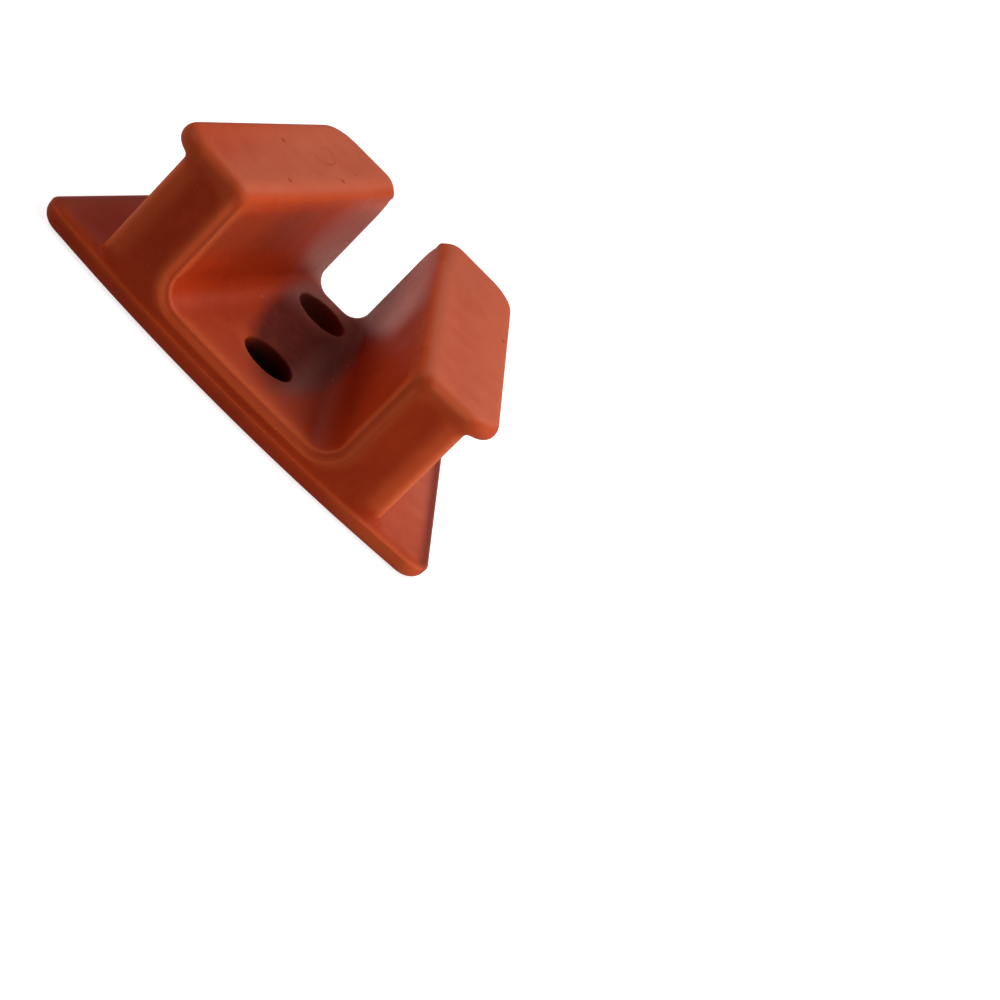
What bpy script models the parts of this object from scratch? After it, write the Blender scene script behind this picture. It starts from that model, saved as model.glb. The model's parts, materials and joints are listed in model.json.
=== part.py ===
"""Dental bite block, child size: one solid moulded from silicone rubber.

The cheek plate lies flat on z = 0 and the body stands up from it, towards the tongue. +X runs
along the plate's wide edge, -Y points out of the mouth, to the wide end, and +Z points to the
tongue. A tapering channel splits the body into two lobes, each with a ribbed bite face and a
flange round its free end. Lengths are in millimetres and become metres where a mesh is made.
"""

import math

import bmesh
import bpy
from mathutils import Vector

MM = 0.001

# Cheek plate
PLATE_WIDE = 36.0
PLATE_NARROW = 24.4
PLATE_DEPTH = 24.5
PLATE_BOW = 1.9
PLATE_THICKNESS = 1.7
PLATE_OUTER_ROUND = 1.15
PLATE_INNER_RUN = 1.3
PLATE_INNER_DROP = 0.45
PLATE_WIDE_CORNER = 1.8
PLATE_NARROW_CORNER = 2.6

# Body, whose bite faces lean towards each other from the wide end to the narrow end
BITE_WIDE = 26.3
BITE_NARROW = 14.7
BODY_SETBACK = 0.14
BODY_HEIGHT = 12.3
BODY_FRONT_CORNER_REACH = 2.0
BODY_FRONT_CORNER_DEPTH = 1.0
BODY_BACK_CORNER = 1.2
FOOT_FILLET = 0.25

# Channel between the lobes
CHANNEL_WIDE = 15.8
CHANNEL_NARROW = 3.85
FLOOR_HEIGHT = 2.65
FLOOR_FILLET_WIDE = 2.0
FLOOR_FILLET_NARROW = 1.3
MOUTH_ROUND = 1.05
NOTCH_ROUND = 1.4
CREST_ROUND = 1.3

# Flange round the free end of each lobe
FLANGE_OVERHANG = 1.78
FLANGE_FRONT_SETBACK = 0.1
FLANGE_BACK_LIP = 0.1
FLANGE_THICKNESS = 1.6
FLANGE_FILLET = 0.35
FLANGE_LOWER_ROUND = 0.7
FLANGE_UPPER_ROUND = 0.85
FLANGE_WIDE_CORNER = 2.4
FLANGE_NARROW_CORNER = 2.8

# Ribs across each bite face: soft saw teeth whose steep sides face out of the mouth
RIB_COUNT = 6
RIB_PITCH = 3.43
RIB_FIRST_CREST = 2.26
RIB_DEPTH = 0.75
RIB_RUN_IN = 0.8

# Blind holes in the channel floor
HOLE_DIAMETER = 4.1
HOLE_DEPTH = 1.9
HOLE_FLOOR_ROUND = 0.4
HOLE_WIDE_Y = -5.7
HOLE_NARROW_Y = 7.5

# Gate dimple in the plate's outer face
GATE_DIAMETER = 2.5
GATE_FLOOR_DIAMETER = 1.1
GATE_DEPTH = 0.7
GATE_X = 0.2
GATE_Y = -8.8

# How finely the curves are cut
CORNER_STEPS = 6
PLATE_CORNER_STEPS = 8
ROUND_STEPS = 5
RIB_STEPS = 7
EDGE_STEPS = 6
TURN_STEPS = 32
CUT_MARGIN = 2.0

# A rounding stops this far short of the face that it meets and runs on straight through it
RUN_OUT = math.radians(10)
RUN_OUT_LENGTH = 0.25

SHARP_ANGLE = math.radians(35)

SILICONE_COLOR = (0.5, 0.05, 0.01, 1.0)
SILICONE_ROUGHNESS = 0.5


def bow_at(x):
    """How far the wide edge has curved back from its middle."""
    return PLATE_BOW * (2 * x / PLATE_WIDE) ** 2


FRONT_Y = -PLATE_DEPTH / 2
BACK_Y = PLATE_DEPTH / 2
BODY_BACK_Y = BACK_Y - BODY_SETBACK
BITE_FRONT_Y = FRONT_Y + BODY_SETBACK + bow_at(BITE_WIDE / 2)
BITE_SLOPE = (BITE_WIDE - BITE_NARROW) / 2 / (BODY_BACK_Y - BITE_FRONT_Y)
CHANNEL_FRONT_Y = FRONT_Y + BODY_SETBACK + bow_at(CHANNEL_WIDE / 2)
CHANNEL_SLOPE = (CHANNEL_WIDE - CHANNEL_NARROW) / 2 / (BODY_BACK_Y - CHANNEL_FRONT_Y)
FLANGE_UNDERSIDE = BODY_HEIGHT - FLANGE_THICKNESS


def steps_between(start, end, steps):
    return [start + (end - start) * i / steps for i in range(steps + 1)]


def ease(t):
    """Goes from 0 to 1, level at both ends."""
    t = min(max(t, 0.0), 1.0)
    return t * t * (3 - 2 * t)


def corner_curve(before, corner, after, reach_in, reach_out, steps):
    """Points of the arc of an ellipse that rounds a corner between two straight runs."""
    back = (before - corner).normalized()
    onward = (after - corner).normalized()
    start = corner + back * reach_in
    end = corner + onward * reach_out
    pull = math.sin(back.angle(onward) / 2)
    points = []
    for t in steps_between(0, 1, steps):
        first, middle, last = (1 - t) ** 2, 2 * pull * t * (1 - t), t * t
        points.append((start * first + corner * middle + end * last) / (first + middle + last))
    return points


def corner_arc(before, corner, after, radius, steps):
    """Points of the arc of a circle that rounds a corner between two straight runs."""
    reach = radius / math.tan((before - corner).angle(after - corner) / 2)
    return corner_curve(before, corner, after, reach, reach, steps)


def closed_outline(right_half):
    """Adds the left half to a right half that runs from the front middle to the back middle."""
    return right_half + [Vector((-p.x, p.y)) for p in reversed(right_half[1:-1])]


def front_edge(reach, setback):
    """The bowed front edge from the middle up to, but not including, a reach along X."""
    xs = steps_between(0, reach, EDGE_STEPS)[:-1]
    return [Vector((x, FRONT_Y + setback + bow_at(x))) for x in xs]


def plate_outline():
    wide = Vector((PLATE_WIDE / 2, FRONT_Y + PLATE_BOW))
    narrow = Vector((PLATE_NARROW / 2, BACK_Y))
    back_middle = Vector((0, BACK_Y))
    bow_slope = 4 * PLATE_BOW / PLATE_WIDE
    wide_arc = corner_arc(wide - Vector((1, bow_slope)), wide, narrow,
                          PLATE_WIDE_CORNER, PLATE_CORNER_STEPS)
    narrow_arc = corner_arc(wide, narrow, back_middle, PLATE_NARROW_CORNER, PLATE_CORNER_STEPS)
    return closed_outline(front_edge(wide_arc[0].x, 0) + wide_arc + narrow_arc + [back_middle])


def rib_runs(start, end):
    """Where the rib surface is sampled along a bite face, as runs from its sharp front corner."""
    spacing = RIB_PITCH / RIB_STEPS
    first = math.ceil((start - RIB_FIRST_CREST) / spacing)
    last = math.floor((end - RIB_FIRST_CREST) / spacing)
    runs = [RIB_FIRST_CREST + i * spacing for i in range(first, last + 1)]
    return [run for run in runs if start + spacing / 4 < run < end - spacing / 4]


def rib_depth(run, start):
    """Depth of the saw teeth at a run along the bite face, whose flat part begins at start."""
    if run > RIB_FIRST_CREST + RIB_COUNT * RIB_PITCH:
        return 0.0
    phase = (run - RIB_FIRST_CREST) / RIB_PITCH % 1.0
    wave = (1 - math.cos(2 * math.pi * phase ** 2)) / 2
    return RIB_DEPTH * wave * ease((run - start) / RIB_RUN_IN)


def side_corners(overhang, front_setback, back_lip):
    """Sharp corners of the body's right side, out past the bite plane, from its front round."""
    shift = overhang * math.hypot(1, BITE_SLOPE)
    inner = Vector((CHANNEL_WIDE / 2, CHANNEL_FRONT_Y))
    front = Vector((BITE_WIDE / 2 + shift - BITE_SLOPE * front_setback, BITE_FRONT_Y + front_setback))
    back = Vector((BITE_NARROW / 2 + shift - BITE_SLOPE * back_lip, BODY_BACK_Y + back_lip))
    return inner, front, back, Vector((0, back.y))


def body_outlines():
    """Plans of the ribbed body and of the flange, point for point."""
    inner, corner, back, body_middle = side_corners(0, 0, 0)
    front_arc = corner_curve(inner, corner, back,
                             BODY_FRONT_CORNER_REACH, BODY_FRONT_CORNER_DEPTH, CORNER_STEPS)
    back_arc = corner_arc(corner, back, body_middle, BODY_BACK_CORNER, CORNER_STEPS)
    _, flange_corner, flange_back, flange_middle = side_corners(
        FLANGE_OVERHANG, FLANGE_FRONT_SETBACK, FLANGE_BACK_LIP)
    flange_front_arc = corner_arc(inner, flange_corner, flange_back, FLANGE_WIDE_CORNER, CORNER_STEPS)
    flange_back_arc = corner_arc(flange_corner, flange_back, flange_middle,
                                 FLANGE_NARROW_CORNER, CORNER_STEPS)
    start, end = front_arc[-1], back_arc[0]
    start_run = (start - corner).length
    length = (end - start).length
    along = (end - start).normalized()
    inward = Vector((-along.y, along.x))
    bite_side = []
    flange_side = []
    for run in rib_runs(start_run, start_run + length):
        bite_side.append(corner + along * run + inward * rib_depth(run, start_run))
        flange_side.append(flange_front_arc[-1].lerp(flange_back_arc[0], (run - start_run) / length))
    edge = front_edge(inner.x, BODY_SETBACK) + [inner]
    body = closed_outline(edge + front_arc + bite_side + back_arc + [body_middle])
    flange = closed_outline(edge + flange_front_arc + flange_side + flange_back_arc + [flange_middle])
    return body, flange


def outward_normals(outline):
    """Outward directions at the points of a closed outline that runs anticlockwise."""
    normals = []
    for i, point in enumerate(outline):
        along = outline[(i + 1) % len(outline)] - outline[i - 1]
        normals.append(Vector((along.y, -along.x)).normalized())
    return normals


def body_levels():
    """Height, flange growth, inset and foot flare of each ring of the body, from the foot up."""
    fillet = min(FLANGE_FILLET, FLANGE_OVERHANG - FLANGE_LOWER_ROUND)
    quarter = math.pi / 2
    flare = FOOT_FILLET * (1 - math.sin(RUN_OUT)) + RUN_OUT_LENGTH * math.cos(RUN_OUT)
    foot = PLATE_THICKNESS + FOOT_FILLET * (1 - math.cos(RUN_OUT)) - RUN_OUT_LENGTH * math.sin(RUN_OUT)
    levels = [(PLATE_THICKNESS / 2, 0, 0, flare), (foot, 0, 0, flare)]
    for a in steps_between(RUN_OUT, quarter, ROUND_STEPS - 1):
        levels.append((PLATE_THICKNESS + FOOT_FILLET * (1 - math.cos(a)), 0, 0,
                       FOOT_FILLET * (1 - math.sin(a))))
    for a in steps_between(0, quarter, ROUND_STEPS):
        overhang = fillet * (1 - math.cos(a))
        levels.append((FLANGE_UNDERSIDE - fillet * (1 - math.sin(a)), overhang / FLANGE_OVERHANG, 0, 0))
    for a in steps_between(0, quarter, ROUND_STEPS - 1)[1:]:
        overhang = FLANGE_OVERHANG - FLANGE_LOWER_ROUND * (1 - math.sin(a))
        levels.append((FLANGE_UNDERSIDE + FLANGE_LOWER_ROUND * (1 - math.cos(a)),
                       overhang / FLANGE_OVERHANG, 0, 0))
    for a in steps_between(0, quarter, ROUND_STEPS):
        levels.append((BODY_HEIGHT - FLANGE_UPPER_ROUND * (1 - math.sin(a)), 1,
                       FLANGE_UPPER_ROUND * (1 - math.cos(a)), 0))
    return levels


def foot_share(point):
    """How much of the foot's fillet a point of the body's plan has: none near the plate's rim."""
    to_rim = min(point.y - FRONT_Y - bow_at(point.x), BACK_Y - point.y)
    return ease(to_rim / PLATE_INNER_RUN - 1)


def body_rings():
    """The ribbed plan at the foot grows level by level into the rounded flange."""
    body, flange = body_outlines()
    normals = outward_normals(flange)
    rings = []
    for height, growth, inset, flare in body_levels():
        ring = []
        for base, rim, normal in zip(body, flange, normals):
            point = base.lerp(rim, growth) + normal * (flare * foot_share(base) - inset)
            ring.append(point.to_3d() + Vector((0, 0, height)))
        rings.append(ring)
    return rings


def channel_half_section(half_width, floor_fillet, spread):
    """Right half of the channel in XZ, from the floor's middle up, spread by an edge rounding."""
    wall = half_width + spread
    floor = FLOOR_HEIGHT - spread
    fillet = floor_fillet + spread
    section = [Vector((x, floor)) for x in steps_between(0, wall - fillet, 3)[:-1]]
    for a in steps_between(0, math.pi / 2, CORNER_STEPS):
        section.append(Vector((wall - fillet * (1 - math.sin(a)), floor + fillet * (1 - math.cos(a)))))
    for a in steps_between(0, math.pi / 2 - RUN_OUT, ROUND_STEPS):
        section.append(Vector((wall + CREST_ROUND * (1 - math.cos(a)),
                               BODY_HEIGHT - CREST_ROUND * (1 - math.sin(a)))))
    run_out = section[-1] + RUN_OUT_LENGTH * Vector((math.cos(RUN_OUT), math.sin(RUN_OUT)))
    top = BODY_HEIGHT + CUT_MARGIN
    return section + [run_out, Vector((run_out.x, top)), Vector((0, top))]


def rounding_stations(radius):
    """Depth behind a face and spread of the channel where a rounding runs out through it."""
    stations = [(radius * (1 - math.sin(a)), radius * (1 - math.cos(a)))
                for a in steps_between(0, math.pi / 2 - RUN_OUT, ROUND_STEPS)]
    depth, spread = stations[-1]
    depth -= RUN_OUT_LENGTH * math.sin(RUN_OUT)
    spread += RUN_OUT_LENGTH * math.cos(RUN_OUT)
    return stations + [(depth, spread), (depth - CUT_MARGIN, spread)]


def channel_rings():
    """Sections of the channel from in front of the mouth to behind the notch."""
    mouth = [(CHANNEL_FRONT_Y + depth, spread, 1) for depth, spread in rounding_stations(MOUTH_ROUND)]
    notch = [(BODY_BACK_Y - depth, spread, 0) for depth, spread in rounding_stations(NOTCH_ROUND)]
    rings = []
    for y, spread, bow in list(reversed(mouth)) + notch:
        t = (y - CHANNEL_FRONT_Y) / (BODY_BACK_Y - CHANNEL_FRONT_Y)
        half_width = CHANNEL_WIDE / 2 - CHANNEL_SLOPE * (y - CHANNEL_FRONT_Y)
        fillet = FLOOR_FILLET_WIDE + (FLOOR_FILLET_NARROW - FLOOR_FILLET_WIDE) * ease(t)
        ring = []
        for p in closed_outline(channel_half_section(half_width, fillet, spread)):
            bend = bow * (bow_at(p.x) - bow_at(CHANNEL_WIDE / 2))
            ring.append(Vector((p.x, y + bend, p.y)))
        rings.append(ring)
    return rings


def finish_mesh(name, mesh, collection):
    """Turns a bmesh into an object of the collection."""
    bmesh.ops.recalc_face_normals(mesh, faces=mesh.faces)
    data = bpy.data.meshes.new(name)
    mesh.to_mesh(data)
    mesh.free()
    data.shade_smooth()
    made = bpy.data.objects.new(name, data)
    collection.objects.link(made)
    return made


def loft(name, rings, collection):
    """Skins closed rings of equal length and caps both ends."""
    mesh = bmesh.new()
    loops = [[mesh.verts.new(p * MM) for p in ring] for ring in rings]
    for low, high in zip(loops, loops[1:]):
        for i in range(len(low)):
            mesh.faces.new((low[i - 1], low[i], high[i], high[i - 1]))
    mesh.faces.new(loops[0])
    mesh.faces.new(loops[-1])
    return finish_mesh(name, mesh, collection)


def plate_rings():
    """The plate's outline drawn in at its outer and inner faces, from the outer face up."""
    outline = plate_outline()
    normals = outward_normals(outline)
    quarter = math.pi / 2
    levels = [(PLATE_OUTER_ROUND * (1 - math.cos(a)), PLATE_OUTER_ROUND * (1 - math.sin(a)))
              for a in steps_between(0, quarter, ROUND_STEPS + 1)]
    for a in steps_between(0, quarter, ROUND_STEPS):
        levels.append((PLATE_THICKNESS - PLATE_INNER_DROP * (1 - math.sin(a)),
                       PLATE_INNER_RUN * (1 - math.cos(a))))
    return [[(point - normal * inset).to_3d() + Vector((0, 0, height))
             for point, normal in zip(outline, normals)] for height, inset in levels]


def turned(name, profile, location, collection):
    """A profile of radius and height, listed from its top down, turned about Z."""
    data = bpy.data.meshes.new(name)
    points = [(r * MM, 0, z * MM) for r, z in profile]
    data.from_pydata(points, [(i, i + 1) for i in range(len(points) - 1)], [])
    made = bpy.data.objects.new(name, data)
    made.location = Vector(location) * MM
    collection.objects.link(made)
    screw = made.modifiers.new("Turn", "SCREW")
    screw.steps = TURN_STEPS
    screw.render_steps = TURN_STEPS
    screw.use_merge_vertices = True
    screw.merge_threshold = 0.00001
    return made


def hole_profile():
    """A straight blind hole whose floor meets its wall in a fillet, its mouth at height 0."""
    radius = HOLE_DIAMETER / 2
    floor = [(radius - HOLE_FLOOR_ROUND * (1 - math.cos(a)),
              HOLE_FLOOR_ROUND * (1 - math.sin(a)) - HOLE_DEPTH)
             for a in steps_between(0, math.pi / 2, 3)]
    return [(0, CUT_MARGIN), (radius, CUT_MARGIN)] + floor + [(0, -HOLE_DEPTH)]


def gate_profile():
    """A shallow dimple seen from above, its mouth on the plate's outer face at height 0."""
    mouth = GATE_DIAMETER / 2
    floor = GATE_FLOOR_DIAMETER / 2
    return [(0, GATE_DEPTH), (floor, GATE_DEPTH), (mouth, 0), (mouth, -CUT_MARGIN), (0, -CUT_MARGIN)]


def combine(target, tool, operation):
    """Adds an exact Boolean of a tool object to the target."""
    tool.hide_render = True
    tool.display_type = "WIRE"
    boolean = target.modifiers.new(tool.name, "BOOLEAN")
    boolean.operation = operation
    boolean.solver = "EXACT"
    boolean.object = tool


def settle_cuts(target):
    """Makes the object's modifiers its own mesh, whose edges are sharp where the cuts meet it."""
    graph = bpy.context.evaluated_depsgraph_get()
    data = bpy.data.meshes.new_from_object(target.evaluated_get(graph))
    data.set_sharp_from_angle(angle=SHARP_ANGLE)
    target.modifiers.clear()
    target.data = data


def silicone():
    material = bpy.data.materials.new("silicone")
    material.use_nodes = True
    shader = material.node_tree.nodes["Principled BSDF"]
    shader.inputs["Base Color"].default_value = SILICONE_COLOR
    shader.inputs["Roughness"].default_value = SILICONE_ROUGHNESS
    shader.inputs["Metallic"].default_value = 0.0
    return material


def new_collection(name):
    collection = bpy.data.collections.new(name)
    bpy.context.scene.collection.children.link(collection)
    return collection


def main():
    for old in list(bpy.data.objects):
        bpy.data.objects.remove(old, do_unlink=True)
    parts = new_collection("dental_bite_block")
    tools = new_collection("shaping_tools")

    block = loft("bite_block", body_rings(), parts)
    block.data.materials.append(silicone())

    combine(block, loft("cheek_plate", plate_rings(), tools), "UNION")
    combine(block, loft("channel", channel_rings(), tools), "DIFFERENCE")
    for name, y in (("hole_wide_end", HOLE_WIDE_Y), ("hole_narrow_end", HOLE_NARROW_Y)):
        combine(block, turned(name, hole_profile(), (0, y, FLOOR_HEIGHT), tools), "DIFFERENCE")
    combine(block, turned("gate", gate_profile(), (GATE_X, GATE_Y, 0), tools), "DIFFERENCE")
    settle_cuts(block)


main()
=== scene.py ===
"""Dental bite block: the looks of the moulded silicone, its lights, floor and camera.

The block's surface is skinned from distances, in millimetres, so that every edge has the soft
rounding of a moulding. Its main sizes are those of the part's source. Some roundings are its
own: at the plate's rims, the foot of the channel's walls, the lobes' tips and the holes' rims.
"""

import json
import math

import bpy
import numpy as np
from mathutils import Matrix, Vector

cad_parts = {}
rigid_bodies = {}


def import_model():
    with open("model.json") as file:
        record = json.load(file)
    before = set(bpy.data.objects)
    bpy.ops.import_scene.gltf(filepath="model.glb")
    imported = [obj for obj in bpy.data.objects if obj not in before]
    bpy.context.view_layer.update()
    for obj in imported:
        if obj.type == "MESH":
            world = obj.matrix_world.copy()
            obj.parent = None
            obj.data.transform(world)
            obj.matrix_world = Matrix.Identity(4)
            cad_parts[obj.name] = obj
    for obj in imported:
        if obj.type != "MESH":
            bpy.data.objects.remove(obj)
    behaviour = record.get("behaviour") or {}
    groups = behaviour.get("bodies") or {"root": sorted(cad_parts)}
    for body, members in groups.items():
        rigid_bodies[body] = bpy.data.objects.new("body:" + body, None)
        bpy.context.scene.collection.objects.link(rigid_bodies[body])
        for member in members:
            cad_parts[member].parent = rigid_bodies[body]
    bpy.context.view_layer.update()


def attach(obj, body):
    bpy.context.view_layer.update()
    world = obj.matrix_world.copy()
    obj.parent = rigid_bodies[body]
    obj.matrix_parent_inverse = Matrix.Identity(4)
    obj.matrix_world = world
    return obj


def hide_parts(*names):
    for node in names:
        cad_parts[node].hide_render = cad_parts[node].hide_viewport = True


MM = 0.001

# Cheek plate
PLATE_WIDE = 36.0
PLATE_NARROW = 24.4
PLATE_DEPTH = 24.5
PLATE_BOW = 1.9
PLATE_THICKNESS = 1.7
PLATE_OUTER_ROUND = 1.0
PLATE_INNER_RUN = 1.3
PLATE_INNER_DROP = 0.55
PLATE_WIDE_CORNER = 1.8
PLATE_NARROW_CORNER = 2.6
PARTING_HEIGHT = 1.28
PARTING_RIDGE = 0.05
PARTING_SPREAD = 0.07

# Body and its ribbed bite faces
BITE_WIDE = 26.3
BITE_NARROW = 14.7
BODY_SETBACK = 0.14
BODY_HEIGHT = 12.3
BODY_CORNER_REACH = 2.0
BODY_CORNER_DEPTH = 1.0
BODY_BACK_CORNER = 1.2
SHAFT_START = 0.8
SHAFT_TOP_INSET = 0.5
FOOT_FILLET = 0.25
RIB_COUNT = 6
RIB_PITCH = 3.43
RIB_FIRST_CREST = 2.26
RIB_DEPTH = 0.75
RIB_RUN_IN = 0.8
RIB_SAMPLING = 0.1

# Channel. The crest is the long upper edge of its walls, and the tip is the crest's end at the
# notch. TIP_START and TIP_RUN are shares of the channel's length.
CHANNEL_WIDE = 15.8
CHANNEL_NARROW = 3.85
FLOOR_HEIGHT = 2.65
FLOOR_FILLET_WIDE = 1.7
FLOOR_FILLET_NARROW = 1.3
MOUTH_ROUND = 1.05
NOTCH_ROUND = 1.4
CREST_ROUND = 1.3
CREST_START = 9.5
CREST_RUN = 2.5
TIP_ROUND = 1.8
TIP_START = 0.7
TIP_RUN = 0.3

# Flange
FLANGE_OVERHANG = 1.78
FLANGE_FRONT_LIP = -0.1
FLANGE_BACK_LIP = 0.1
FLANGE_THICKNESS = 1.6
FLANGE_FILLET = 0.35
FLANGE_LOWER_ROUND = 0.7
FLANGE_UPPER_ROUND = 0.85
FLANGE_WIDE_CORNER = 2.4
FLANGE_NARROW_CORNER = 2.8
FLANGE_EDGE_HEIGHT = 11.8

# Holes and gate
HOLE_RADIUS = 2.05
HOLE_DEPTH = 1.9
HOLE_FLOOR_ROUND = 0.4
HOLE_RIM_ROUND = 0.14
HOLE_YS = (-5.7, 7.5)
GATE_X = 0.2
GATE_Y = -8.8
GATE_RADIUS = 1.25
GATE_FLOOR_RADIUS = 0.55
GATE_DEPTH = 0.7
GATE_FLOOR_ROUND = 0.25
GATE_RIM_ROUND = 0.15

# Grid that the surface is skinned on: half sizes, heights and pitches. The fine ranges are
# from, to and pitch.
GRID_HALF_X = 18.2
GRID_HALF_Y = 12.8
GRID_LOW = -0.4
GRID_HIGH = 12.8
GRID_PITCH = 0.26
HOLE_ZONE = 2.4
HOLE_PITCH = 0.14
PARTING_RANGE = (1.05, 1.45, 0.05)
FLOOR_RANGE = (2.3, 2.9, 0.13)
SETTLE_ROUNDS = 3
SETTLE_REACH = 0.1

# Silicone's colours, from the photograph
SILICONE = (0.5, 0.043, 0.007, 1)
SILICONE_DARK = (0.34, 0.025, 0.004, 1)
SILICONE_LIGHT = (0.58, 0.062, 0.012, 1)
# Painted highlight: lighter colour on lit edges, rims and lines
SILICONE_HIGHLIGHT = (0.68, 0.11, 0.03, 1)
# Painted sheen on faces that look up
UPWARD_SHEEN = (0.6, 0.15, 0.08, 1)
# Painted highlight lines on the bite faces' corner and flange edge
EDGE_HIGHLIGHT = (0.85, 0.19, 0.07, 1)
# Colour of the dark patch round the holes, and of the painted shade on the plate's side rims
DARK_PATCH_AND_RIM_SHADE = (0.15, 0.024, 0.016, 1)
WALL_SHADE = (0.1, 0.065, 0.04, 1)
# Painted reflection: pale colour where light would reflect at grazing angles
PAINTED_REFLECTION = (0.85, 0.45, 0.38, 1)
# Painted shade deep in the holes
HOLE_SHADE = (0.035, 0.01, 0.01, 1)
DUST = (0.75, 0.42, 0.3, 1)
SPECULAR_LEVEL = 0.08

# How far round a point its bend is felt, for creases and for broad roundings
BEND_REACH = 0.6
BROAD_REACH = 1.5

# Dark patch round the holes, painted reflection on the channel's walls by the notch, and its
# strength by side
DARK_PATCH_CENTRE = (0.5, 1.9, 2.65)
DARK_PATCH_REACH = (4.3, 13.0, 3.6)
DARK_PATCH_SKEW = 0.05
DARK_PATCH_EDGE = 0.36
REFLECTION_START = 7.5
REFLECTION_SLOPE = 0.45
REFLECTION_RIGHT = 1.1
REFLECTION_LEFT = 0.6
REFLECTION_LEFT_END = 0.25
PATCH_REFLECTION = 0.22
WING_REFLECTION = 0.06
HOLE_REFLECTION = 0.06

# Small marks on the surface: nicks in the lobes' ends, ejector pins' rings, a swirl
NICK_RADIUS = 0.24
NICKS = ((-9.97, 0.52, 12.3), (10.46, 3.56, 12.3), (-7.37, -4.29, 12.3), (-5.26, 3.43, 12.3))
RING_RADIUS = 1.6
RINGS = ((-8.7, -0.4, 0.0), (8.7, -0.4, 0.0))
SWIRL_RADIUS = 1.6
SWIRL = (-8.1, 4.6, 12.3)

# Floor, in metres. Its glow goes from near to full between two distances from the block.
FLOOR_HALF = 4.0
GLOW_NEAR = 0.8
GLOW_FULL = 1.0
GLOW_START = 0.1
GLOW_END = 0.5


def bow_at(x):
    """How far the wide edge has curved back from its middle."""
    return PLATE_BOW * (2 * x / PLATE_WIDE) ** 2


FRONT_Y = -PLATE_DEPTH / 2
BACK_Y = PLATE_DEPTH / 2
BODY_BACK_Y = BACK_Y - BODY_SETBACK
BITE_FRONT_Y = FRONT_Y + BODY_SETBACK + bow_at(BITE_WIDE / 2)
PLATE_SLOPE = (PLATE_WIDE - PLATE_NARROW) / 2 / (PLATE_DEPTH - PLATE_BOW)
BITE_SLOPE = (BITE_WIDE - BITE_NARROW) / 2 / (BODY_BACK_Y - BITE_FRONT_Y)
CHANNEL_FRONT_Y = FRONT_Y + BODY_SETBACK + bow_at(CHANNEL_WIDE / 2)
CHANNEL_SLOPE = (CHANNEL_WIDE - CHANNEL_NARROW) / 2 / (BODY_BACK_Y - CHANNEL_FRONT_Y)


def ease(t):
    """Goes from 0 to 1, level at both ends."""
    t = np.clip(t, 0.0, 1.0)
    return t * t * (3 - 2 * t)


def above(value, start, width):
    """Eases from 0 at the start to 1 a width above it."""
    return ease((value - start) / width)


def below(value, end, width):
    """Eases from 1 a width below the end to 0 at the end."""
    return ease((end - value) / width)


def close_to(value, middle, width):
    """Eases from 1 at the middle to 0 a width off it, on both sides."""
    return ease(1 - np.abs(value - middle) / width)


def by_side(x, left, right):
    """The right value where x is above 0, and the left one elsewhere."""
    return np.where(x > 0, right, left)


# Plans of the plate, the body and the flange

def corner_curve(before, corner, after, reach_in, reach_out, steps=16):
    """Points of the arc of an ellipse that rounds a corner between two straight runs."""
    before, corner, after = (Vector(p) for p in (before, corner, after))
    back = (before - corner).normalized()
    onward = (after - corner).normalized()
    start, end = corner + back * reach_in, corner + onward * reach_out
    pull = math.sin(back.angle(onward) / 2)
    points = []
    for t in np.linspace(0, 1, steps + 1):
        a, b, c = (1 - t) ** 2, 2 * pull * t * (1 - t), t * t
        points.append(tuple((start * a + corner * b + end * c) / (a + b + c)))
    return points


def corner_arc(before, corner, after, radius):
    """Points of the arc of a circle that rounds a corner."""
    corner = Vector(corner)
    half_angle = (Vector(before) - corner).angle(Vector(after) - corner) / 2
    reach = radius / math.tan(half_angle)
    return corner_curve(before, corner, after, reach, reach)


def closed_outline(right_half):
    """Adds the left half to a right half that runs from the front middle to the back middle."""
    return np.array(right_half + [(-x, y) for x, y in reversed(right_half[1:-1])])


def front_edge(reach, setback, steps=24):
    """The bowed front edge from the middle up to, but not including, a reach along X."""
    xs = [reach * i / steps for i in range(steps)]
    return [(x, FRONT_Y + setback + bow_at(x)) for x in xs]


def plate_outline():
    wide = (PLATE_WIDE / 2, FRONT_Y + PLATE_BOW)
    narrow = (PLATE_NARROW / 2, BACK_Y)
    end_slope = 4 * PLATE_BOW / PLATE_WIDE
    before = (wide[0] - 1, wide[1] - end_slope)
    wide_arc = corner_arc(before, wide, narrow, PLATE_WIDE_CORNER)
    narrow_arc = corner_arc(wide, narrow, (0, BACK_Y), PLATE_NARROW_CORNER)
    return closed_outline(front_edge(wide_arc[0][0], 0) + wide_arc + narrow_arc + [(0, BACK_Y)])


def side_corners(overhang, front_lip, back_lip):
    """Sharp corners of the right side, out past the bite plane: inner, front, back and middle."""
    shift = overhang * math.hypot(1, BITE_SLOPE)
    front = (BITE_WIDE / 2 + shift + BITE_SLOPE * front_lip, BITE_FRONT_Y - front_lip)
    back = (BITE_NARROW / 2 + shift - BITE_SLOPE * back_lip, BODY_BACK_Y + back_lip)
    return (CHANNEL_WIDE / 2, CHANNEL_FRONT_Y), front, back, (0, BODY_BACK_Y + back_lip)


def rib_depth(run, start_run):
    """How far in the soft saw teeth of a bite face are, at a run from its front corner."""
    phase = (run - RIB_FIRST_CREST) / RIB_PITCH
    if phase > RIB_COUNT:
        return 0.0
    wave = (1 - math.cos(2 * math.pi * (phase % 1.0) ** 2)) / 2
    return RIB_DEPTH * wave * ease((run - start_run) / RIB_RUN_IN)


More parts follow.
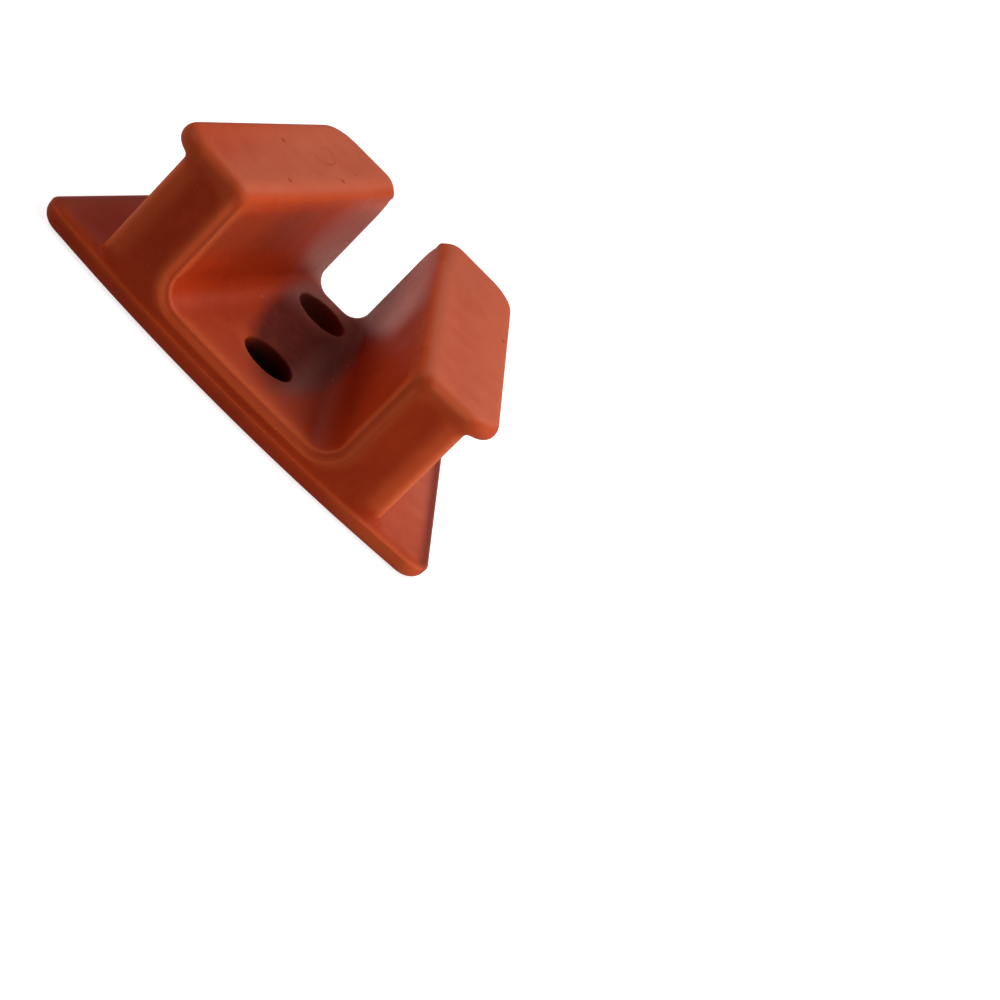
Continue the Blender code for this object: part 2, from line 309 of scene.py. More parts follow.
def body_outline():
    """Plan of the body, with the soft saw teeth of its bite faces."""
    inner, corner, back, middle = side_corners(0, 0, 0)
    front_arc = corner_curve(inner, corner, back, BODY_CORNER_REACH, BODY_CORNER_DEPTH)
    back_arc = corner_arc(corner, back, middle, BODY_BACK_CORNER)
    start, end, corner = Vector(front_arc[-1]), Vector(back_arc[0]), Vector(corner)
    along = (end - start).normalized()
    inward = Vector((-along.y, along.x))
    start_run = (start - corner).length
    ribs = []
    for run in np.arange(start_run + RIB_SAMPLING, (end - corner).length, RIB_SAMPLING):
        ribs.append(tuple(corner + along * run + inward * rib_depth(run, start_run)))
    edge = front_edge(CHANNEL_WIDE / 2, BODY_SETBACK) + [inner]
    return closed_outline(edge + front_arc + ribs + back_arc + [middle])


def flange_outline():
    inner, front, back, middle = side_corners(FLANGE_OVERHANG, FLANGE_FRONT_LIP, FLANGE_BACK_LIP)
    front_arc = corner_arc(inner, front, back, FLANGE_WIDE_CORNER)
    back_arc = corner_arc(front, back, middle, FLANGE_NARROW_CORNER)
    edge = front_edge(CHANNEL_WIDE / 2, BODY_SETBACK) + [inner]
    return closed_outline(edge + front_arc + back_arc + [middle])


class Plan:
    """Signed distance to an outline that is symmetric about x = 0, negative inside it."""

    STEP = 0.08
    X_END = 20.0
    Y_START = -15.0
    Y_END = 15.0

    def __init__(self, outline):
        xs = np.arange(0, self.X_END + self.STEP, self.STEP)
        ys = np.arange(self.Y_START, self.Y_END + self.STEP, self.STEP)
        px, py = np.meshgrid(xs, ys, indexing="ij")
        nearest = np.full(px.shape, 1e9)
        inside = np.zeros(px.shape, bool)
        for (ax, ay), (bx, by) in zip(outline, np.roll(outline, -1, axis=0)):
            ex, ey = bx - ax, by - ay
            t = np.clip(((px - ax) * ex + (py - ay) * ey) / (ex * ex + ey * ey), 0, 1)
            nearest = np.minimum(nearest, (px - ax - t * ex) ** 2 + (py - ay - t * ey) ** 2)
            if ay != by:
                crosses = (ay > py) != (by > py)
                inside ^= crosses & (px < ex * (py - ay) / ey + ax)
        self.table = np.sqrt(nearest) * np.where(inside, -1, 1)

    def __call__(self, x, y):
        u = np.clip(np.abs(x) / self.STEP, 0, self.table.shape[0] - 1.001)
        v = np.clip((y - self.Y_START) / self.STEP, 0, self.table.shape[1] - 1.001)
        i, j = u.astype(int), v.astype(int)
        u, v = u - i, v - j
        low = self.table[i, j] * (1 - v) + self.table[i, j + 1] * v
        high = self.table[i + 1, j] * (1 - v) + self.table[i + 1, j + 1] * v
        return low * (1 - u) + high * u


# The solid, as a distance that is negative inside it

def round_max(a, b, radius):
    """Meet of two solids whose common edge is rounded."""
    return (np.minimum(np.maximum(a, b), -radius)
            + np.hypot(np.maximum(a + radius, 0), np.maximum(b + radius, 0)))


def round_min(a, b, radius):
    """Join of two solids with a fillet between them."""
    return -round_max(-a, -b, radius)


def fillet_under(overhang, radius):
    """A fillet that dies out where what it supports hardly overhangs."""
    share_of_overhang, least = 0.8, 0.02
    return np.clip(share_of_overhang * overhang, least, radius)


class Block:
    """The moulded block. A call gives the distances of points to its surface."""

    def __init__(self):
        self.plate = Plan(plate_outline())
        self.body = Plan(body_outline())
        self.flange = Plan(flange_outline())

    def plate_solid(self, x, y, z):
        ridge = PARTING_RIDGE * np.exp(-((z - PARTING_HEIGHT) / PARTING_SPREAD) ** 2)
        side = self.plate(x, y) - ridge
        inner = round_max(side * PLATE_INNER_DROP / PLATE_INNER_RUN, z - PLATE_THICKNESS,
                          PLATE_INNER_DROP)
        return np.maximum(inner, round_max(side, -z, PLATE_OUTER_ROUND))

    def body_solid(self, x, y, z):
        """The ribbed shaft with its flange. The shaft starts and ends inside the others."""
        plan, side = self.body(x, y), self.flange(x, y)
        ends = np.maximum(z - BODY_HEIGHT + SHAFT_TOP_INSET, SHAFT_START - z)
        shaft = np.maximum(plan, ends)
        upper = round_max(side, z - BODY_HEIGHT, FLANGE_UPPER_ROUND)
        lower = round_max(side, BODY_HEIGHT - FLANGE_THICKNESS - z, FLANGE_LOWER_ROUND)
        return round_min(shaft, np.maximum(upper, lower), fillet_under(plan - side, FLANGE_FILLET))

    def channel(self, x, y, z):
        """Distance to the channel's space, and the rounding where that space ends."""
        run = y - CHANNEL_FRONT_Y
        t = run / (BODY_BACK_Y - CHANNEL_FRONT_Y)
        wall = (np.abs(x) - CHANNEL_WIDE / 2 + CHANNEL_SLOPE * run) / math.hypot(1, CHANNEL_SLOPE)
        fillet = FLOOR_FILLET_WIDE + (FLOOR_FILLET_NARROW - FLOOR_FILLET_WIDE) * ease(t)
        rim = MOUTH_ROUND + (NOTCH_ROUND - MOUTH_ROUND) * ease(t)
        crest = CREST_ROUND + (TIP_ROUND - CREST_ROUND) * above(t, TIP_START, TIP_RUN)
        rim = rim + (crest - rim) * above(z, CREST_START, CREST_RUN)
        return round_max(wall, FLOOR_HEIGHT - z, fillet), rim

    def outside(self, x, y, z):
        """The block without its channel, holes and gate."""
        foot = fillet_under(self.body(x, y) - self.plate(x, y), FOOT_FILLET)
        return round_min(self.plate_solid(x, y, z), self.body_solid(x, y, z), foot)

    def __call__(self, x, y, z):
        solid = self.outside(x, y, z)
        channel, rim = self.channel(x, y, z)
        solid = round_max(solid, -channel, rim)
        for hole_y in HOLE_YS:
            hole = round_max(np.hypot(x, y - hole_y) - HOLE_RADIUS,
                             FLOOR_HEIGHT - HOLE_DEPTH - z, HOLE_FLOOR_ROUND)
            solid = round_max(solid, -hole, HOLE_RIM_ROUND)
        taper = (GATE_RADIUS - GATE_FLOOR_RADIUS) / GATE_DEPTH
        cone = (np.hypot(x - GATE_X, y - GATE_Y) - GATE_RADIUS + taper * z) / math.hypot(1, taper)
        gate = round_max(cone, z - GATE_DEPTH, GATE_FLOOR_ROUND)
        return round_max(solid, -gate, GATE_RIM_ROUND)

    def bend(self, x, y, z, reach):
        """How convex the surface is round a point, and how far it faces up."""
        around = [self(x + dx, y + dy, z + dz)
                  for dx, dy, dz in np.vstack([np.eye(3), -np.eye(3)]) * reach]
        return (sum(around) - 6 * self(x, y, z)) / reach ** 2, (around[2] - around[5]) / (2 * reach)

    # Zones, from 0 to 1

    def on_plate(self, x, y, z):
        """The plate's inner face, off the body."""
        return below(z, 2.2, 0.4) * above(self.body(x, y), 0.1, 0.4)

    def wing_tip(self, x, y, z):
        """The right wing of that face towards the wide edge."""
        return self.on_plate(x, y, z) * below(y, -3, 4) * (x > 0)

    def in_channel(self, x, y, z):
        """The channel's floor and walls."""
        channel, _ = self.channel(x, y, z)
        return below(np.abs(channel), 0.5, 0.4)

    def in_hole(self, x, y):
        """Either hole, over its whole depth."""
        return sum(below(np.hypot(x, y - at), HOLE_RADIUS + 0.1, 0.1) for at in HOLE_YS)

    # Masks for the material, by name. They go from 0 to 1 where nothing else is said.

    def masks(self, x, y, z):
        """All masks at points of the surface."""
        return {**self.form_masks(x, y, z), **self.plate_masks(x, y, z),
                **self.mouth_masks(x, y, z), **self.dark_patch_and_shade_masks(x, y, z)}

    def form_masks(self, x, y, z):
        """Edges, which go below 0 in creases, broad and thin edges, and upward faces' painted
        sheen. The edges give painted highlights on convex roundings and painted shade in creases.
        """
        bend, upward = self.bend(x, y, z, BEND_REACH)
        broad, _ = self.bend(x, y, z, BROAD_REACH)
        deepest = -0.6 * above(z, 2.4, 1)
        weaker_low_and_high = ((0.45 + 0.55 * above(z, 1.5, 0.5)) * above(z, 0.6, 0.6)
                               * (1 - 0.6 * above(z, 10, 1.5)))
        on_bite_face = below(np.abs(self.body(x, y)), 0.35, 0.25) * above(z, 1.9, 0.4)
        corner_edge = close_to(y, BITE_FRONT_Y + 0.65, 0.55) * below(z, 10.6, 0.6)
        flange_edge = (by_side(x, 0.2, 0.6) * close_to(z, FLANGE_EDGE_HEIGHT, 0.45)
                       * below(y, BITE_FRONT_Y + 0.9, 0.4)
                       * above(np.abs(x), CHANNEL_WIDE / 2 + 0.9, 0.6))
        # Painted sheen on faces that look up, less in the channel
        upward_sheen = above(upward, 0.5, 0.45) * above(x, -14.5, 6) * above(z, 0.5, 0.4)
        low_in_channel = self.in_channel(x, y, z) * below(z, 8, 3)
        return {
            # Painted highlight on convex edges, painted shade in creases
            "edge": np.clip(bend, deepest, 1) * weaker_low_and_high,
            # Painted highlight on broad roundings
            "broad": np.clip(broad, 0, 1) * above(z, 1.8, 1),
            # Painted highlight lines on the bite faces' corner and flange edge
            "edge_highlight": on_bite_face * (0.8 * corner_edge + flange_edge),
            "upward_sheen": upward_sheen * (1 - 0.15 * self.wing_tip(x, y, z)) * (1 - 0.75 * low_in_channel),
        }

    def plate_masks(self, x, y, z):
        """Painted highlight on the plate's parting line, painted shade on its side rims, and
        painted light on its front rim on the right.
        """
        off_edge = self.plate(x, y)
        to_side = PLATE_WIDE / 2 - PLATE_SLOPE * (y - FRONT_Y - PLATE_BOW) - np.abs(x)
        return {
            # Painted highlight along the parting line
            "parting": close_to(z, PARTING_HEIGHT, 0.3) * above(off_edge, -0.3, 0.2),
            # Painted shade on the plate's rounded side rims
            "plate_rim_shade": (self.on_plate(x, y, z) * below(to_side, 1.625, 1.25)
                          * above(z, 0.95, 0.2) * by_side(x, 0.5, 1.0)),
            # Painted light on the rounded front rim near the right tip
            "front_rim_light": (above(x, 8, 6) * above(off_edge, -0.9, 0.5) * below(z, 1.6, 0.3)
                          * below(y, -7, 2) * above(to_side, 0, 0.8)),
        }

    def mouth_masks(self, x, y, z):
        """The channel's mouth, and the way across its rounding, from -1 inside to 1 in front."""
        channel, rim = self.channel(x, y, z)
        return {
            "mouth": below(y, CHANNEL_FRONT_Y + 2.6, 0.8) * below(z, 11.6, 1.2),
            "mouth_turn": np.clip((self.outside(x, y, z) + channel) / rim, -1, 1),
        }

    def dark_patch_and_shade_masks(self, x, y, z):
        """The dark patch round the holes, painted reflections, painted shade on the left wall, and
        painted shade deep in the holes.
        """
        in_hole = self.in_hole(x, y)
        dark_patch = self.dark_patch(x, y, z)
        towards_notch = above(y, 3, 5)
        patch_reflection = (PATCH_REFLECTION * dark_patch * (1 - in_hole)
                      * np.maximum(towards_notch, above(x, 1, 2)))
        painted_reflection = np.maximum(self.wall_reflection(x, y, z), self.wing_reflection(x, y, z))
        return {
            "dark_patch": dark_patch * (1 - 0.25 * towards_notch * above(x, -2, 2)),
            # Painted reflections on the walls, the plate, the dark patch and in the back hole
            "painted_reflection": np.maximum(painted_reflection, patch_reflection) + HOLE_REFLECTION * in_hole * (y > 0),
            "shade": (self.in_channel(x, y, z) * above(z, 5, 3) * below(z, 11.5, 2)
                      * below(y, 4, 6) * below(x, -1, 2)),
            # Painted shade deep in the holes
            "depth": (in_hole * below(z, FLOOR_HEIGHT - 0.1, 1.2) * above(z, 0.3, 0.2)
                      * np.where(y > 0, 0.45, 1.0)),
        }

    def dark_patch(self, x, y, z):
        """An ellipsoid round the holes, slightly askew, with a soft edge."""
        skewed = x + DARK_PATCH_SKEW * (y - DARK_PATCH_CENTRE[1])
        reach = np.sqrt(sum(((value - centre) / half) ** 2 for value, centre, half
                            in zip((skewed, y, z), DARK_PATCH_CENTRE, DARK_PATCH_REACH)))
        return below(reach, 1, DARK_PATCH_EDGE) * above(z, 0.6, 0.6)

    def wall_reflection(self, x, y, z):
        """A band of painted reflection on the channel's walls that comes down towards the notch."""
        rise = z - REFLECTION_START + REFLECTION_SLOPE * y
        left = REFLECTION_LEFT * above(y, 2, 7) + REFLECTION_LEFT_END * above(y, 8, 3)
        right = REFLECTION_RIGHT * above(y, -1, 6)
        return (self.in_channel(x, y, z) * above(rise, -0.5, 2) * (1 - 0.6 * above(rise, 0, 6))
                * below(z, 12.2, 2) * by_side(x, left, right))

    def wing_reflection(self, x, y, z):
        """A faint band of painted reflection inside the plate's rim."""
        off_edge = self.plate(x, y)
        return (WING_REFLECTION * self.on_plate(x, y, z) * by_side(x, 0.4, 1.0)
                * above(off_edge, -3.2, 1.6) * below(off_edge, -0.6, 0.5)
                * above(z, 1.2, 0.3) * (1 - self.wing_tip(x, y, z)))


# Skinning

CELL_CORNERS = [(i, j, k) for i in (0, 1) for j in (0, 1) for k in (0, 1)]


def grid_lines(start, end, coarse, fine_ranges):
    """Grid lines at a coarse pitch, with ranges (low, high, pitch) of a finer one."""
    lines = [start]
    while lines[-1] < end:
        here = lines[-1]
        pitch = min([coarse] + [p for low, high, p in fine_ranges if low - p <= here <= high])
        lines.append(here + pitch)
    return np.array(lines)


def cut_cells(inside):
    """The grid cells that the surface passes through, and a table of their numbers."""
    nx, ny, nz = (n - 1 for n in inside.shape)
    count = sum(inside[i:nx + i, j:ny + j, k:nz + k].astype(int) for i, j, k in CELL_CORNERS)
    cells = np.argwhere((count > 0) & (count < len(CELL_CORNERS)))
    number = np.full(count.shape, -1)
    number[tuple(cells.T)] = np.arange(len(cells))
    return cells, number


def cell_points(lines, values, cells):
    """A point for each cell: the mean of where the surface crosses the cell's edges."""
    def place(index):
        return np.stack([line[index[:, axis]] for axis, line in enumerate(lines)], 1)

    total = np.zeros((len(cells), 3))
    hits = np.zeros(len(cells))
    for corner in CELL_CORNERS:
        for axis in range(3):
            if corner[axis]:
                continue
            low = cells + corner
            high = low + np.eye(3, dtype=int)[axis]
            at_low, at_high = values[tuple(low.T)], values[tuple(high.T)]
            cross = (at_low < 0) != (at_high < 0)
            t = np.where(cross, at_low / np.where(cross, at_low - at_high, 1), 0)[:, None]
            start, stop = place(low), place(high)
            total += np.where(cross[:, None], start + t * (stop - start), 0)
            hits += cross
    return total / hits[:, None]


def surface_quads(inside, number):
    """A quad round each grid line's step that the surface crosses, turned to face outward."""
    quads = []
    for axis in range(3):
        u, v = (axis + 1) % 3, (axis + 2) % 3
        head = [slice(None)] * 3
        tail = [slice(None)] * 3
        head[axis], tail[axis] = slice(0, -1), slice(1, None)
        first, second = inside[tuple(head)], inside[tuple(tail)]
        edges = np.argwhere(first != second)
        outward = first[tuple(edges.T)]
        ring = []
        for du, dv in ((-1, -1), (0, -1), (0, 0), (-1, 0)):
            cell = edges.copy()
            cell[:, u] += du
            cell[:, v] += dv
            ring.append(number[tuple(cell.T)])
        ring = np.stack(ring, 1)
        quads.append(np.where(outward[:, None], ring, ring[:, ::-1]))
    return np.concatenate(quads)


def skin(solid, xs, ys, zs):
    """Points and quads of a mesh of the zero surface of a solid."""
    values = solid(xs[:, None, None], ys[None, :, None], zs[None, None, :])
    inside = values < 0
    cells, number = cut_cells(inside)
    return cell_points((xs, ys, zs), values, cells), surface_quads(inside, number)


def pull(solid, points):
    """Moves points onto the zero surface along its slope, by no more than the settling reach."""
    step, least_slope = 0.01, 0.05
    slope = np.stack([solid(*(points + step * d).T) - solid(*(points - step * d).T)
                      for d in np.eye(3)], 1) / (2 * step)
    size = np.maximum((slope ** 2).sum(1, keepdims=True), least_slope)
    move = -solid(*points.T)[:, None] * slope / size
    length = np.linalg.norm(move, axis=1, keepdims=True)
    return points + move * np.minimum(1, SETTLE_REACH / np.maximum(length, 1e-9))


def settle(solid, points, quads):
    """Evens out the mesh and pulls it back onto the surface, a few times."""
    a = quads.ravel()
    b = np.roll(quads, -1, axis=1).ravel()
    degree = np.bincount(a, minlength=len(points)) + np.bincount(b, minlength=len(points))
    points = pull(solid, pull(solid, points))
    for _ in range(SETTLE_ROUNDS):
        mean = np.stack([(np.bincount(a, points[b, i], len(points))
                          + np.bincount(b, points[a, i], len(points))) / degree
                         for i in range(3)], 1)
        points = pull(solid, points + 0.5 * (mean - points))
    return pull(solid, points)


def make_block():
    """The moulded piece, with its masks as attributes of its points."""
    block = Block()
    holes = [(y - HOLE_ZONE, y + HOLE_ZONE, HOLE_PITCH) for y in HOLE_YS]
    xs = grid_lines(-GRID_HALF_X, GRID_HALF_X, GRID_PITCH, [(-HOLE_ZONE, HOLE_ZONE, HOLE_PITCH)])
    ys = grid_lines(-GRID_HALF_Y, GRID_HALF_Y, GRID_PITCH, holes)
    zs = grid_lines(GRID_LOW, GRID_HIGH, GRID_PITCH, [PARTING_RANGE, FLOOR_RANGE])
    points, quads = skin(block, xs, ys, zs)
    points = settle(block, points, quads)
    mesh = bpy.data.meshes.new("moulded_block")
    mesh.from_pydata((points * MM).tolist(), [], quads.tolist())
    mesh.shade_smooth()
    for name, values in block.masks(*points.T).items():
        mesh.attributes.new(name, "FLOAT", "POINT").data.foreach_set("value", values)
    made = bpy.data.objects.new("moulded_block", mesh)
    bpy.context.scene.collection.objects.link(made)
    return made


# Camera, floor and lights

def make_camera():
    """The photograph's view of the upper left item, tilted as it lies there."""
    right = (0.7056853887, 0.2198627574, 0.6735491816)
    down = (0.7068966149, -0.2828984607, -0.6482789806)
    forward = (0.0480136225, 0.9336106409, -0.3550575492)
    place = (7.948, -198.114, 80.450)
    camera = bpy.data.cameras.new("camera")
    camera.sensor_width = 36.0
    camera.lens = 109.644
    camera.clip_start = 0.01
    camera.clip_end = 20.0
    made = bpy.data.objects.new("camera", camera)
    made.matrix_world = Matrix(((right[0], -down[0], -forward[0], place[0] * MM),
                                (right[1], -down[1], -forward[1], place[1] * MM),
                                (right[2], -down[2], -forward[2], place[2] * MM),
                                (0, 0, 0, 1)))
    bpy.context.scene.collection.objects.link(made)
    bpy.context.scene.camera = made


def by_ray(tree, soft, glossy, seen):
    """A grey that differs for soft light, for reflections and for the camera."""
    path = tree.nodes.new("ShaderNodeLightPath")
    grey = (soft, soft, soft, 1)
    for ray, value in (("Is Glossy Ray", glossy), ("Is Camera Ray", seen)):
        mix = tree.nodes.new("ShaderNodeMix")
        mix.data_type = "RGBA"
        tree.links.new(path.outputs[ray], mix.inputs["Factor"])
        if isinstance(grey, tuple):
            mix.inputs["A"].default_value = grey
        else:
            tree.links.new(grey, mix.inputs["A"])
        if isinstance(value, bpy.types.NodeSocket):
            tree.links.new(value, mix.inputs["B"])
        else:
            mix.inputs["B"].default_value = (value, value, value, 1)
        grey = mix.outputs["Result"]
    return grey


def far_glow(tree):
    """The glow that the camera sees on the floor: it rises with the distance from the block.

    It makes up for the lamps' light, which falls off there.
    """
    place = tree.nodes.new("ShaderNodeTexCoord").outputs["Object"]
    length = tree.nodes.new("ShaderNodeVectorMath")
    length.operation = "LENGTH"
    tree.links.new(place, length.inputs[0])
    ramp = tree.nodes.new("ShaderNodeMapRange")
    ramp.inputs["From Min"].default_value = GLOW_START
    ramp.inputs["From Max"].default_value = GLOW_END
    ramp.inputs["To Min"].default_value = GLOW_NEAR
    ramp.inputs["To Max"].default_value = GLOW_FULL
    tree.links.new(length.outputs["Value"], ramp.inputs["Value"])
    return ramp.outputs["Result"]


def make_floor():
    h = FLOOR_HALF
    mesh = bpy.data.meshes.new("floor")
    mesh.from_pydata([(-h, -h, 0), (h, -h, 0), (h, h, 0), (-h, h, 0)], [], [(0, 1, 2, 3)])
    made = bpy.data.objects.new("floor", mesh)
    bpy.context.scene.collection.objects.link(made)
    material = bpy.data.materials.new("pale_floor")
    material.use_nodes = True
    tree = material.node_tree
    shader = tree.nodes["Principled BSDF"]
    color = by_ray(tree, soft=0.35, glossy=0.4, seen=0.6)
    glow = by_ray(tree, soft=0.18, glossy=0.18, seen=far_glow(tree))
    tree.links.new(color, shader.inputs["Base Color"])
    tree.links.new(glow, shader.inputs["Emission Color"])
    shader.inputs["Emission Strength"].default_value = 1.0
    shader.inputs["Roughness"].default_value = 0.8
    shader.inputs["Specular IOR Level"].default_value = 0.0
    mesh.materials.append(material)


def add_light(name, azimuth, elevation, watts, distance=1.0, spread=0.5):
    """A square softbox. Azimuth 0 is the camera's side and 90 the right.

    Its power and width are those that it would have from a metre away.
    """
    a, e = math.radians(azimuth), math.radians(elevation)
    place = Vector((math.sin(a) * math.cos(e), -math.cos(a) * math.cos(e), math.sin(e)))
    light = bpy.data.lights.new(name, "AREA")
    light.shape = "SQUARE"
    light.size = spread * distance
    light.energy = watts * distance ** 2
    made = bpy.data.objects.new(name, light)
    made.location = place * distance
    made.rotation_euler = (-place).to_track_quat("-Z", "Y").to_euler()
    made.visible_camera = False
    bpy.context.scene.collection.objects.link(made)


def make_lights():
    add_light("front_right", 52, 20, 0.75, distance=0.09)
    add_light("right_low", 76, 9, 3.6, distance=0.2)
    add_light("front_high", 35, 60, 0.4, distance=0.2)
    add_light("right", 90, 35, 1.1)
    add_light("right_high", 82, 62, 2.8, distance=0.12)
    add_light("back_right_high", 135, 62, 1.7, distance=0.2)
    add_light("back_right", 135, 35, 1.2)
    add_light("back_left", 200, 42, 0.9, spread=0.9)
    add_light("left", 270, 34, 3.2)


def make_world():
    world = bpy.data.worlds.new("studio")
    world.use_nodes = True
    tree = world.node_tree
    color = by_ray(tree, soft=0.02, glossy=0.1, seen=1.0)
    tree.links.new(color, tree.nodes["Background"].inputs["Color"])
    bpy.context.scene.world = world


# Material

class Shading:
    """Shorthands for the nodes of one material. Lengths are in millimetres."""

    def __init__(self, name):
        self.material = bpy.data.materials.new(name)
        self.material.use_nodes = True
        self.tree = self.material.node_tree
        self.shader = self.tree.nodes["Principled BSDF"]
        coordinates = self.node("ShaderNodeTexCoord")
        self.place = self.vector("SCALE", coordinates.outputs["Object"], scale=1 / MM)

    def node(self, kind, **settings):
        made = self.tree.nodes.new(kind)
        for name, value in settings.items():
            setattr(made, name, value)
        return made

    def feed(self, socket, value):
        """Links an output to a socket, or sets the socket to a constant."""
        if isinstance(value, bpy.types.NodeSocket):
            self.tree.links.new(value, socket)
        else:
            socket.default_value = value

    def math(self, operation, *values):
        made = self.node("ShaderNodeMath", operation=operation)
        for socket, value in zip(made.inputs, values):
            self.feed(socket, value)
        return made.outputs[0]

    def times(self, a, b):
        return self.math("MULTIPLY", a, b)

    def vector(self, operation, a, b=None, scale=None):
        made = self.node("ShaderNodeVectorMath", operation=operation)
        self.feed(made.inputs[0], a)
        if b is not None:
            self.feed(made.inputs[1], b)
        if scale is not None:
            self.feed(made.inputs["Scale"], scale)
        return made.outputs["Value" if operation == "DISTANCE" else "Vector"]

    def noise(self, size, detail, roughness=0.5):
        """Noise from 0 to 1 whose lumps are about so many millimetres."""
        made = self.node("ShaderNodeTexNoise")
        self.feed(made.inputs["Vector"], self.place)
        self.feed(made.inputs["Scale"], 1 / size)
        self.feed(made.inputs["Detail"], detail)
        self.feed(made.inputs["Roughness"], roughness)
        return made.outputs["Fac"]

    def ramp(self, value, start, end, low=0.0, high=1.0):
        """Eases from low to high while the value goes from start to end."""
        made = self.node("ShaderNodeMapRange", interpolation_type="SMOOTHSTEP")
        for socket, given in zip(made.inputs, (value, start, end, low, high)):
            self.feed(socket, given)
        return made.outputs["Result"]

    def mix(self, factor, a, b):
        made = self.node("ShaderNodeMix", data_type="RGBA")
        self.feed(made.inputs["Factor"], factor)
        self.feed(made.inputs["A"], a)
        self.feed(made.inputs["B"], b)
        return made.outputs["Result"]

    def attribute(self, name):
        return self.node("ShaderNodeAttribute", attribute_name=name).outputs["Fac"]

    def near(self, value, middle, width):
        """A soft line: 1 where the value is at its middle, 0 past its width."""
        offset = self.math("ABSOLUTE", self.math("SUBTRACT", value, middle))
        return self.ramp(offset, width, 0.0)

    def specks(self, spacing, radius, share):
        """Scattered round specks, in only a share of the cells."""
        cells = self.node("ShaderNodeTexVoronoi")
        self.feed(cells.inputs["Vector"], self.place)
        self.feed(cells.inputs["Scale"], 1 / spacing)
        self.feed(cells.inputs["Randomness"], 0.9)
        dot = self.ramp(cells.outputs["Distance"], radius / spacing, 0.4 * radius / spacing)
        split = self.node("ShaderNodeSeparateColor")
        self.feed(split.inputs["Color"], cells.outputs["Color"])
        chosen = self.math("LESS_THAN", split.outputs["Red"], share)
        return self.times(dot, chosen)


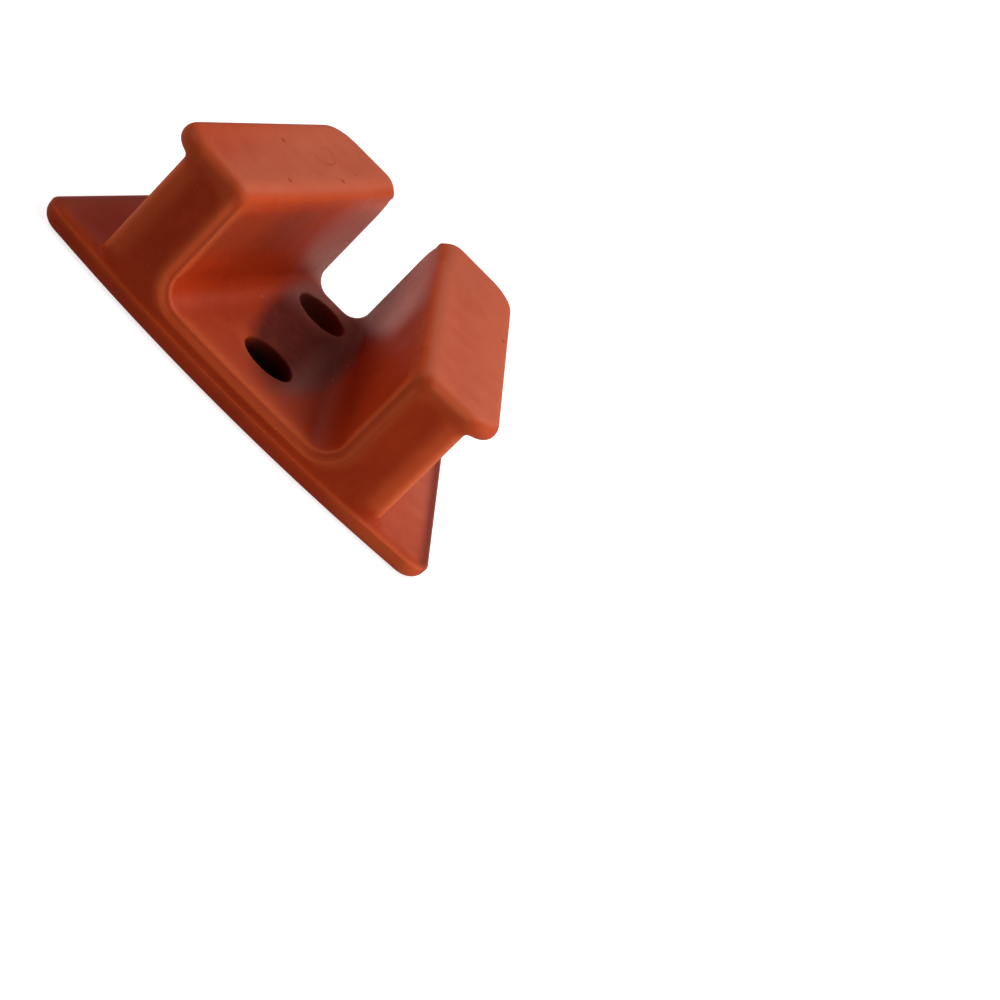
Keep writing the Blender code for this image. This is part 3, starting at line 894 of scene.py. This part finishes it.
class Silicone(Shading):
    """Matt red brown silicone: mottled, finely grained, dusty, dark round the holes, with painted
    highlights, sheen, reflections and shade.
    """

    def __init__(self):
        super().__init__("moulded_silicone")
        self.make_patterns()
        self.feed(self.shader.inputs["Base Color"], self.color())
        self.feed(self.shader.inputs["Roughness"], self.roughness())
        self.shader.inputs["Specular IOR Level"].default_value = SPECULAR_LEVEL
        bump = self.node("ShaderNodeBump")
        bump.inputs["Distance"].default_value = MM
        bump.inputs["Strength"].default_value = 1.0
        self.feed(bump.inputs["Height"], self.relief())
        self.feed(self.shader.inputs["Normal"], bump.outputs["Normal"])

    def make_patterns(self):
        """What colour, roughness and relief share."""
        self.clouds = self.noise(size=7.0, detail=3.0)
        self.mottle = self.noise(size=1.3, detail=4.0, roughness=0.6)
        self.grain = self.noise(size=0.16, detail=2.0)
        self.dark_patch = self.times(self.attribute("dark_patch"),
                                self.ramp(self.mottle, 0.2, 0.6, 0.85, 1.0))
        self.across = self.attribute("mouth_turn")
        self.along = self.attribute("mouth")
        self.groove = self.times(self.near(self.across, middle=0.0, width=0.4), self.along)
        self.pale = self.times(self.specks(spacing=1.9, radius=0.11, share=0.2), 0.6)
        self.dust = self.times(self.specks(spacing=0.42, radius=0.05, share=0.12), 0.3)
        self.dusty = self.math("MAXIMUM", self.pale, self.dust)
        pits = self.specks(spacing=2.7, radius=0.12, share=0.14)
        self.pits = self.math("MAXIMUM", pits, self.nicks())

    def color(self):
        """The silicone's colour under its layers, each one a factor and a colour. Several layers
        are painted highlights, sheen, reflections and shade.
        """
        edge = self.attribute("edge")
        crest_highlights = self.math("ADD", self.near(self.across, middle=0.5, width=0.26),
                           self.near(self.across, middle=-0.5, width=0.26))
        layers = (
            (self.ramp(self.clouds, 0.35, 0.7, 0.0, 0.5), SILICONE_DARK),
            (self.ramp(self.mottle, 0.35, 0.75, 0.0, 0.3), SILICONE_LIGHT),
            (self.ramp(self.grain, 0.3, 0.7, 0.0, 0.16), SILICONE_DARK),
            # Painted highlight on broad roundings
            (self.ramp(self.attribute("broad"), 0.1, 0.8, 0.0, 0.4), SILICONE_HIGHLIGHT),
            # Painted highlight on convex edges
            (self.ramp(edge, 0.0, 1.0, 0.0, 0.35), SILICONE_HIGHLIGHT),
            # Painted shade in creases
            (self.ramp(edge, -0.1, -1.0, 0.0, 0.35), SILICONE_DARK),
            # Painted sheen on faces that look up
            (self.mottled("upward_sheen", 0.2, 0.8, 0.45, 0.7), UPWARD_SHEEN),
            # Painted shade on the plate's rounded side rims
            (self.times(self.attribute("plate_rim_shade"), 0.85), DARK_PATCH_AND_RIM_SHADE),
            # Painted light on the rounded front rim near the right tip
            (self.times(self.attribute("front_rim_light"), 0.7), SILICONE_HIGHLIGHT),
            (self.times(self.attribute("shade"), 0.25), WALL_SHADE),
            # Painted highlight along the parting line
            (self.times(self.attribute("parting"), 0.3), SILICONE_HIGHLIGHT),
            # Painted highlight lines on the bite faces' corner and flange edge
            (self.times(self.attribute("edge_highlight"), 0.7), EDGE_HIGHLIGHT),
            (self.dark_patch, DARK_PATCH_AND_RIM_SHADE),
            # Painted shade deep in the holes
            (self.attribute("depth"), HOLE_SHADE),
            # Painted reflections
            (self.mottled("painted_reflection", 0.2, 0.7, 0.6, 0.95), PAINTED_REFLECTION),
            # Painted shade in the mouth's shallow groove
            (self.times(self.groove, 0.35), SILICONE_DARK),
            # Painted highlights along the groove's two edges
            (self.times(self.times(crest_highlights, self.along), 0.6), SILICONE_HIGHLIGHT),
            (self.dusty, DUST),
            (self.times(self.pits, 0.6), SILICONE_DARK),
        )
        color = SILICONE
        for factor, layer in layers:
            color = self.mix(factor, color, layer)
        return color

    def mottled(self, mask, *ramp):
        """A mask with a strength that follows the mottling, by a ramp."""
        return self.times(self.attribute(mask), self.ramp(self.mottle, *ramp))

    def roughness(self):
        """Mottled, and rougher on the dark patch round the holes and on the dust."""
        rough = self.ramp(self.mottle, 0.3, 0.7, 0.43, 0.53)
        rough = self.math("MULTIPLY_ADD", self.dark_patch, 0.25, rough)
        return self.math("ADD", rough, self.times(self.dusty, 0.2))

    def relief(self):
        """Height over the surface, from patterns with their heights in millimetres."""
        height = self.times(self.clouds, 0.12)
        for pattern, most in ((self.noise(size=2.2, detail=2.0), 0.02), (self.grain, 0.009),
                              (self.pale, 0.05), (self.pits, -0.08), (self.groove, -0.05),
                              (self.moulding_marks(), 0.06)):
            height = self.math("MULTIPLY_ADD", pattern, most, height)
        return height

    def nicks(self):
        """The nicks in the lobes' ends."""
        total = 0.0
        for centre in NICKS:
            distance = self.vector("DISTANCE", self.place, centre)
            nick = self.ramp(distance, NICK_RADIUS, 0.4 * NICK_RADIUS)
            total = self.math("MAXIMUM", total, nick)
        return total

    def moulding_marks(self):
        """The ejector pins' rings, and a hook-shaped swirl on a lobe's end."""
        distance = self.vector("DISTANCE", self.place, SWIRL)
        split = self.node("ShaderNodeSeparateXYZ")
        self.feed(split.inputs[0], self.place)
        right_half = self.ramp(split.outputs["X"], SWIRL[0] - 0.3, SWIRL[0] + 0.5)
        total = self.times(self.near(distance, SWIRL_RADIUS, 0.2), right_half)
        for centre in RINGS:
            distance = self.vector("DISTANCE", self.place, centre)
            total = self.math("ADD", total, self.near(distance, RING_RADIUS, 0.12))
        return total


def main():
    for old in list(bpy.data.objects):
        bpy.data.objects.remove(old, do_unlink=True)
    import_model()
    block = make_block()
    block.data.materials.append(Silicone().material)
    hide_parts("bite_block")
    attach(block, "root")

    make_floor()
    make_world()
    make_camera()
    make_lights()
    scene = bpy.context.scene
    scene.view_settings.view_transform = "Standard"


main()
